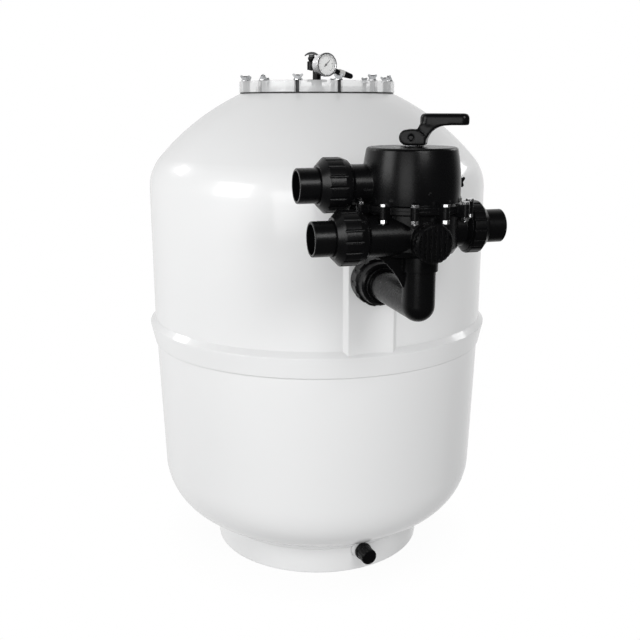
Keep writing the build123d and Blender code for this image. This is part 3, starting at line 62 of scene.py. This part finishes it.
# ---------------------------------------------------------------- materials
class Graph:
    """A material's node tree with short calls for the nodes that the finishes share."""

    def __init__(self, name):
        self.material = bpy.data.materials.new(name)
        self.material.use_nodes = True
        self.tree = self.material.node_tree
        self.tree.nodes.clear()
        self.place = self.node("ShaderNodeTexCoord").outputs["Object"]

    def node(self, kind, **settings):
        made = self.tree.nodes.new(kind)
        for key, value in settings.items():
            setattr(made, key, value)
        return made

    def link(self, source, target):
        self.tree.links.new(source, target)

    def noise(self, scale, detail=3.0, stretch=None):
        """Noise over the piece, 0 to 1; stretch scales the pattern along each axis."""
        texture = self.node("ShaderNodeTexNoise")
        texture.inputs["Scale"].default_value = scale
        texture.inputs["Detail"].default_value = detail
        source = self.place
        if stretch:
            mapping = self.node("ShaderNodeMapping")
            mapping.inputs["Scale"].default_value = stretch
            self.link(source, mapping.inputs["Vector"])
            source = mapping.outputs["Vector"]
        self.link(source, texture.inputs["Vector"])
        return texture.outputs["Fac"]

    def remap(self, source, low, high, start=0.35, end=0.65):
        """A value between low and high as source goes from start to end."""
        mapped = self.node("ShaderNodeMapRange")
        mapped.inputs["From Min"].default_value = start
        mapped.inputs["From Max"].default_value = end
        mapped.inputs["To Min"].default_value = low
        mapped.inputs["To Max"].default_value = high
        self.link(source, mapped.inputs["Value"])
        return mapped.outputs["Result"]

    def blend(self, factor, first, second):
        """Colour between first and second; each is a tuple or an output."""
        mix = self.node("ShaderNodeMix", data_type="RGBA")
        self.link(factor, mix.inputs["Factor"])
        for value, socket in ((first, mix.inputs["A"]), (second, mix.inputs["B"])):
            if isinstance(value, tuple):
                socket.default_value = (*value, 1.0)
            else:
                self.link(value, socket)
        return mix.outputs["Result"]

    def bump(self, height, depth, below=None):
        """Surface relief of a depth in metres, on top of another relief."""
        relief = self.node("ShaderNodeBump")
        relief.inputs["Strength"].default_value = 1.0
        relief.inputs["Distance"].default_value = depth
        self.link(height, relief.inputs["Height"])
        if below:
            self.link(below, relief.inputs["Normal"])
        return relief.outputs["Normal"]

    def rounded(self, radius):
        """Normal of the surface with its edges eased to a radius in metres."""
        bevel = self.node("ShaderNodeBevel", samples=6)
        bevel.inputs["Radius"].default_value = radius
        return bevel.outputs["Normal"]

    def edges(self, rounded):
        """0 on open faces, rising towards 1 along worn edges."""
        geometry = self.node("ShaderNodeNewGeometry")
        product = self.node("ShaderNodeVectorMath", operation="DOT_PRODUCT")
        self.link(rounded, product.inputs[0])
        self.link(geometry.outputs["Normal"], product.inputs[1])
        return self.remap(product.outputs["Value"], 1.0, 0.0, 0.75, 0.99)


def tones(colour, spread):
    """A darker and a lighter tone of a colour."""
    return tuple(c * (1 - spread) for c in colour), tuple(min(1.0, c * (1 + spread)) for c in colour)


def finish(
    name,
    colour,
    roughness,
    spread=0.05,
    patch=9.0,
    uneven=0.05,
    grain=1400.0,
    depth=0.00002,
    swell=0.0,
    swell_scale=6.0,
    rounding=0.0007,
    worn=None,
    stretch=None,
    **constants,
):
    """A finish with varied colour and roughness, fine grain, slow swell and eased edges."""
    g = Graph(name)
    shader = g.node("ShaderNodeBsdfPrincipled")
    output = g.node("ShaderNodeOutputMaterial")
    g.link(shader.outputs["BSDF"], output.inputs["Surface"])
    for socket, value in constants.items():
        shader.inputs[socket.replace("_", " ")].default_value = value

    dark, light = tones(colour, spread)
    tint = g.blend(g.remap(g.noise(patch, 4.0), 0.0, 1.0), dark, light)
    rounded = g.rounded(rounding)
    if worn:
        tint = g.blend(g.edges(rounded), tint, worn)
    g.link(tint, shader.inputs["Base Color"])

    cloudy = g.noise(patch * 7.0, 5.0, stretch)
    g.link(g.remap(cloudy, roughness - uneven, roughness + uneven), shader.inputs["Roughness"])
    normal = rounded
    if swell:
        normal = g.bump(g.noise(swell_scale, 1.0), swell, normal)
    normal = g.bump(g.noise(grain, 2.0, stretch), depth, normal)
    g.link(normal, shader.inputs["Normal"])
    return g.material


FINISHES = {
    "tank_white": finish(
        "tank_white",
        (0.80, 0.803, 0.805),
        0.30,
        spread=0.008,
        patch=2.2,
        uneven=0.02,
        grain=240.0,
        depth=0.000006,
        swell=0.0003,
        swell_scale=5.0,
        rounding=0.0025,
        Coat_Weight=0.6,
        Coat_Roughness=0.07,
    ),
    "lid_clear": finish(
        "lid_clear",
        (0.86, 0.865, 0.87),
        0.12,
        spread=0.03,
        uneven=0.04,
        grain=160.0,
        depth=0.00002,
        rounding=0.0010,
        Alpha=0.42,
        IOR=1.5,
    ),
    "lens_clear": finish(
        "lens_clear",
        (0.95, 0.96, 0.96),
        0.04,
        spread=0.01,
        uneven=0.02,
        grain=200.0,
        depth=0.000005,
        Alpha=0.10,
        IOR=1.45,
    ),
    "stud_dark": finish(
        "stud_dark",
        (0.05, 0.05, 0.052),
        0.42,
        spread=0.25,
        patch=60.0,
        grain=2400.0,
        depth=0.00003,
        worn=(0.22, 0.22, 0.23),
        Metallic=0.6,
    ),
    "wing_grey": finish(
        "wing_grey",
        (0.42, 0.43, 0.44),
        0.38,
        spread=0.08,
        patch=40.0,
        grain=2200.0,
        depth=0.00003,
        worn=(0.62, 0.63, 0.64),
    ),
    "knob_grey": finish(
        "knob_grey",
        (0.055, 0.057, 0.06),
        0.40,
        spread=0.12,
        patch=40.0,
        grain=1800.0,
        depth=0.00001,
        worn=(0.16, 0.16, 0.17),
    ),
    "bright_steel": finish(
        "bright_steel",
        (0.78, 0.78, 0.79),
        0.22,
        spread=0.08,
        patch=70.0,
        uneven=0.08,
        grain=1800.0,
        depth=0.00002,
        worn=(0.95, 0.95, 0.95),
        stretch=(1.0, 1.0, 0.08),
        Metallic=1.0,
    ),
    "valve_black": finish(
        "valve_black",
        (0.0025, 0.0025, 0.0028),
        0.27,
        spread=0.20,
        patch=14.0,
        uneven=0.015,
        grain=900.0,
        depth=0.000001,
        swell=0.00001,
        swell_scale=24.0,
        rounding=0.0012,
        worn=(0.006, 0.006, 0.0065),
        Specular_IOR_Level=0.2,
    ),
    "fitting_black": finish(
        "fitting_black",
        (0.003, 0.003, 0.0033),
        0.28,
        spread=0.20,
        patch=16.0,
        uneven=0.015,
        grain=1000.0,
        depth=0.000001,
        rounding=0.0012,
        worn=(0.007, 0.007, 0.0075),
        Specular_IOR_Level=0.2,
    ),
    "collar_pale": finish("collar_pale", (0.62, 0.62, 0.60), 0.40, spread=0.05, patch=50.0),
    "dial_white": finish("dial_white", (0.96, 0.96, 0.95), 0.45, spread=0.01, patch=90.0, depth=0.000005),
    "needle_black": finish("needle_black", (0.02, 0.02, 0.02), 0.35, spread=0.2, patch=90.0),
    "inner_plastic": finish(
        "inner_plastic", (0.70, 0.71, 0.72), 0.42, spread=0.05, patch=18.0, worn=(0.8, 0.8, 0.81)
    ),
    "seal_rubber": finish(
        "seal_rubber", (0.018, 0.018, 0.018), 0.62, spread=0.3, patch=40.0, grain=2600.0, depth=0.00006
    ),
}

for entry in frame["record"]["subparts"]:
    node = NODES[entry["node"]]
    node.data.materials.clear()
    node.data.materials.append(FINISHES[entry["material_slot"]])


# ---------------------------------------------------------------- new pieces
def piece(name, mesh, body, slot):
    """A new piece in the row frame that rides on a body."""
    made = bpy.data.objects.new(name, mesh)
    bpy.context.scene.collection.objects.link(made)
    made.data.materials.append(FINISHES[slot])
    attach(made, body)
    return made


def smooth_handle(voxel, passes):
    """The valve handle with its edges rounded over into one smooth moulding."""
    source = NODES["handle"]
    mesh = source.data.copy()
    mesh.transform(source.matrix_world)
    made = bpy.data.objects.new("handle_moulded", mesh)
    bpy.context.scene.collection.objects.link(made)

    remesh = made.modifiers.new("remesh", "REMESH")
    remesh.mode = "VOXEL"
    remesh.voxel_size = voxel
    soften = made.modifiers.new("soften", "SMOOTH")
    soften.factor = 0.5
    soften.iterations = passes
    evaluated = made.evaluated_get(bpy.context.evaluated_depsgraph_get())
    rounded = bpy.data.meshes.new_from_object(evaluated)
    bpy.data.objects.remove(made)

    rounded.shade_smooth()
    rounded.materials.clear()
    made = piece("handle_moulded", rounded, "handle", "valve_black")
    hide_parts("handle")


def gauge_marks(count, first, last, inner, outer, half_width, lift):
    """Printed scale of the gauge: short raised bars around the dial, on the dial's own plane."""
    low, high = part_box("gauge_dial")
    facing = Vector((math.sin(GAUGE_TURN), -math.cos(GAUGE_TURN), 0.0))
    side = Vector((math.cos(GAUGE_TURN), math.sin(GAUGE_TURN), 0.0))
    up = Vector((0.0, 0.0, 1.0))
    centre = Vector((0.0, 0.0, (low[2] + high[2]) / 2)) + facing * (GAUGE_DIAL + lift / 2)
    mesh = bpy.data.meshes.new("gauge_marks")
    shape = bmesh.new()
    for step in range(count):
        angle = math.radians(first + (last - first) * step / (count - 1))
        outward = side * math.cos(angle) + up * math.sin(angle)
        along = up * math.cos(angle) - side * math.sin(angle)
        start = inner if step % 5 == 0 else (inner + outer) / 2
        corners = []
        for depth in (-lift / 2, lift / 2):
            for distance, width in ((start, -1), (outer, -1), (outer, 1), (start, 1)):
                corners.append(
                    shape.verts.new(centre + outward * distance + along * half_width * width + facing * depth)
                )
        for loop in ((3, 2, 1, 0), (4, 5, 6, 7), (0, 1, 5, 4), (1, 2, 6, 5), (2, 3, 7, 6), (3, 0, 4, 7)):
            shape.faces.new([corners[i] for i in loop])
    bmesh.ops.recalc_face_normals(shape, faces=shape.faces)
    shape.to_mesh(mesh)
    shape.free()
    piece("gauge_marks", mesh, "lid", "needle_black")


smooth_handle(1.0 * MM, 45)
gauge_marks(26, 225, -45, 12.4 * MM, 16.6 * MM, 0.28 * MM, 0.3 * MM)


# ---------------------------------------------------------------- floor, lights, camera
def floor():
    """Plain pale floor under the foot ring that fades out into the white surroundings."""
    reach = 1.7
    mesh = bpy.data.meshes.new("floor")
    shape = bmesh.new()
    bmesh.ops.create_circle(shape, cap_ends=True, cap_tris=True, segments=96, radius=reach)
    shape.to_mesh(mesh)
    shape.free()
    made = bpy.data.objects.new("floor", mesh)
    made.location.z = -0.0005
    made.visible_diffuse = False
    made.visible_glossy = False
    bpy.context.scene.collection.objects.link(made)

    g = Graph("floor_pale")
    matte = g.node("ShaderNodeBsdfDiffuse")
    white = g.node("ShaderNodeEmission")
    mix = g.node("ShaderNodeMixShader")
    output = g.node("ShaderNodeOutputMaterial")
    distance = g.node("ShaderNodeVectorMath", operation="LENGTH")
    g.link(g.place, distance.inputs[0])
    g.link(g.remap(distance.outputs["Value"], 0.92, 1.0, 0.20, 0.34), mix.inputs["Fac"])
    g.link(g.blend(g.noise(30.0), (0.93, 0.93, 0.93), (0.96, 0.96, 0.96)), matte.inputs["Color"])
    g.link(matte.outputs["BSDF"], mix.inputs[1])
    g.link(white.outputs["Emission"], mix.inputs[2])
    g.link(mix.outputs["Shader"], output.inputs["Surface"])
    mesh.materials.append(g.material)


def area_light(name, place, target, size, power, colour=WHITE):
    """Soft square light at a place, aimed at a target."""
    data = bpy.data.lights.new(name, "AREA")
    data.shape = "SQUARE"
    data.size = size
    data.energy = power
    data.color = colour
    light = bpy.data.objects.new(name, data)
    light.location = place
    light.rotation_euler = (Vector(target) - Vector(place)).to_track_quat("-Z", "Y").to_euler()
    bpy.context.scene.collection.objects.link(light)
    return light


def studio():
    """White surroundings: pure white to the camera, dimmer from above, mirrored only from behind."""
    world = bpy.data.worlds.new("studio")
    world.use_nodes = True
    bpy.context.scene.world = world
    tree = world.node_tree
    tree.nodes.clear()

    def background(strength):
        shade = tree.nodes.new("ShaderNodeBackground")
        shade.inputs["Color"].default_value = (*WHITE, 1.0)
        shade.inputs["Strength"].default_value = strength
        return shade

    seen = background(1.0)
    mirrored = background(MIRRORED_BACK)
    soft = background(SIDE_LIGHT)
    direction = tree.nodes.new("ShaderNodeTexCoord")
    split = tree.nodes.new("ShaderNodeSeparateXYZ")
    tree.links.new(direction.outputs["Generated"], split.inputs["Vector"])

    def graded(axis, start, end, low, high, shade):
        """Strength of a background that goes from low to high along an axis."""
        fall = tree.nodes.new("ShaderNodeMapRange")
        for socket, value in (("From Min", start), ("From Max", end), ("To Min", low), ("To Max", high)):
            fall.inputs[socket].default_value = value
        tree.links.new(split.outputs[axis], fall.inputs["Value"])
        tree.links.new(fall.outputs["Result"], shade.inputs["Strength"])

    graded("Z", 0.0, 1.0, SIDE_LIGHT, TOP_LIGHT, soft)
    graded("Y", 0.1, 0.7, MIRRORED_FRONT, MIRRORED_BACK, mirrored)

    path = tree.nodes.new("ShaderNodeLightPath")
    lit = tree.nodes.new("ShaderNodeMixShader")
    mix = tree.nodes.new("ShaderNodeMixShader")
    output = tree.nodes.new("ShaderNodeOutputWorld")
    tree.links.new(path.outputs["Is Glossy Ray"], lit.inputs["Fac"])
    tree.links.new(soft.outputs["Background"], lit.inputs[1])
    tree.links.new(mirrored.outputs["Background"], lit.inputs[2])
    tree.links.new(path.outputs["Is Camera Ray"], mix.inputs["Fac"])
    tree.links.new(lit.outputs["Shader"], mix.inputs[1])
    tree.links.new(seen.outputs["Background"], mix.inputs[2])
    tree.links.new(mix.outputs["Shader"], output.inputs["Surface"])


def camera():
    """Camera at the photograph's viewing angle."""
    data = bpy.data.cameras.new("camera")
    data.lens = 48.24
    data.sensor_width = 36.0
    data.clip_start = 0.05
    made = bpy.data.objects.new("camera", data)
    made.location = (-0.4814, -1.6686, 0.8967)
    made.rotation_euler = (math.radians(90 - 14.09), 0, math.radians(-16.3))
    bpy.context.scene.collection.objects.link(made)
    bpy.context.scene.camera = made


floor()
studio()
camera()
area_light("left", (-2.8, -1.0, 1.5), (0, -0.1, 0.6), 1.3, 32)
area_light("left_back", (-2.2, 1.7, 2.1), (0, -0.1, 0.7), 0.5, 7)
area_light("front", (0.4, -3.1, 2.2), (0, -0.1, 0.65), 1.0, 32)
area_light("fill", (-1.7, -3.0, 1.0), (0, -0.1, 0.6), 1.6, 21)
area_light("rim", (2.4, 0.6, 1.9), (0, -0.2, 0.7), 0.8, 8)
bpy.context.scene.view_settings.view_transform = "Standard"
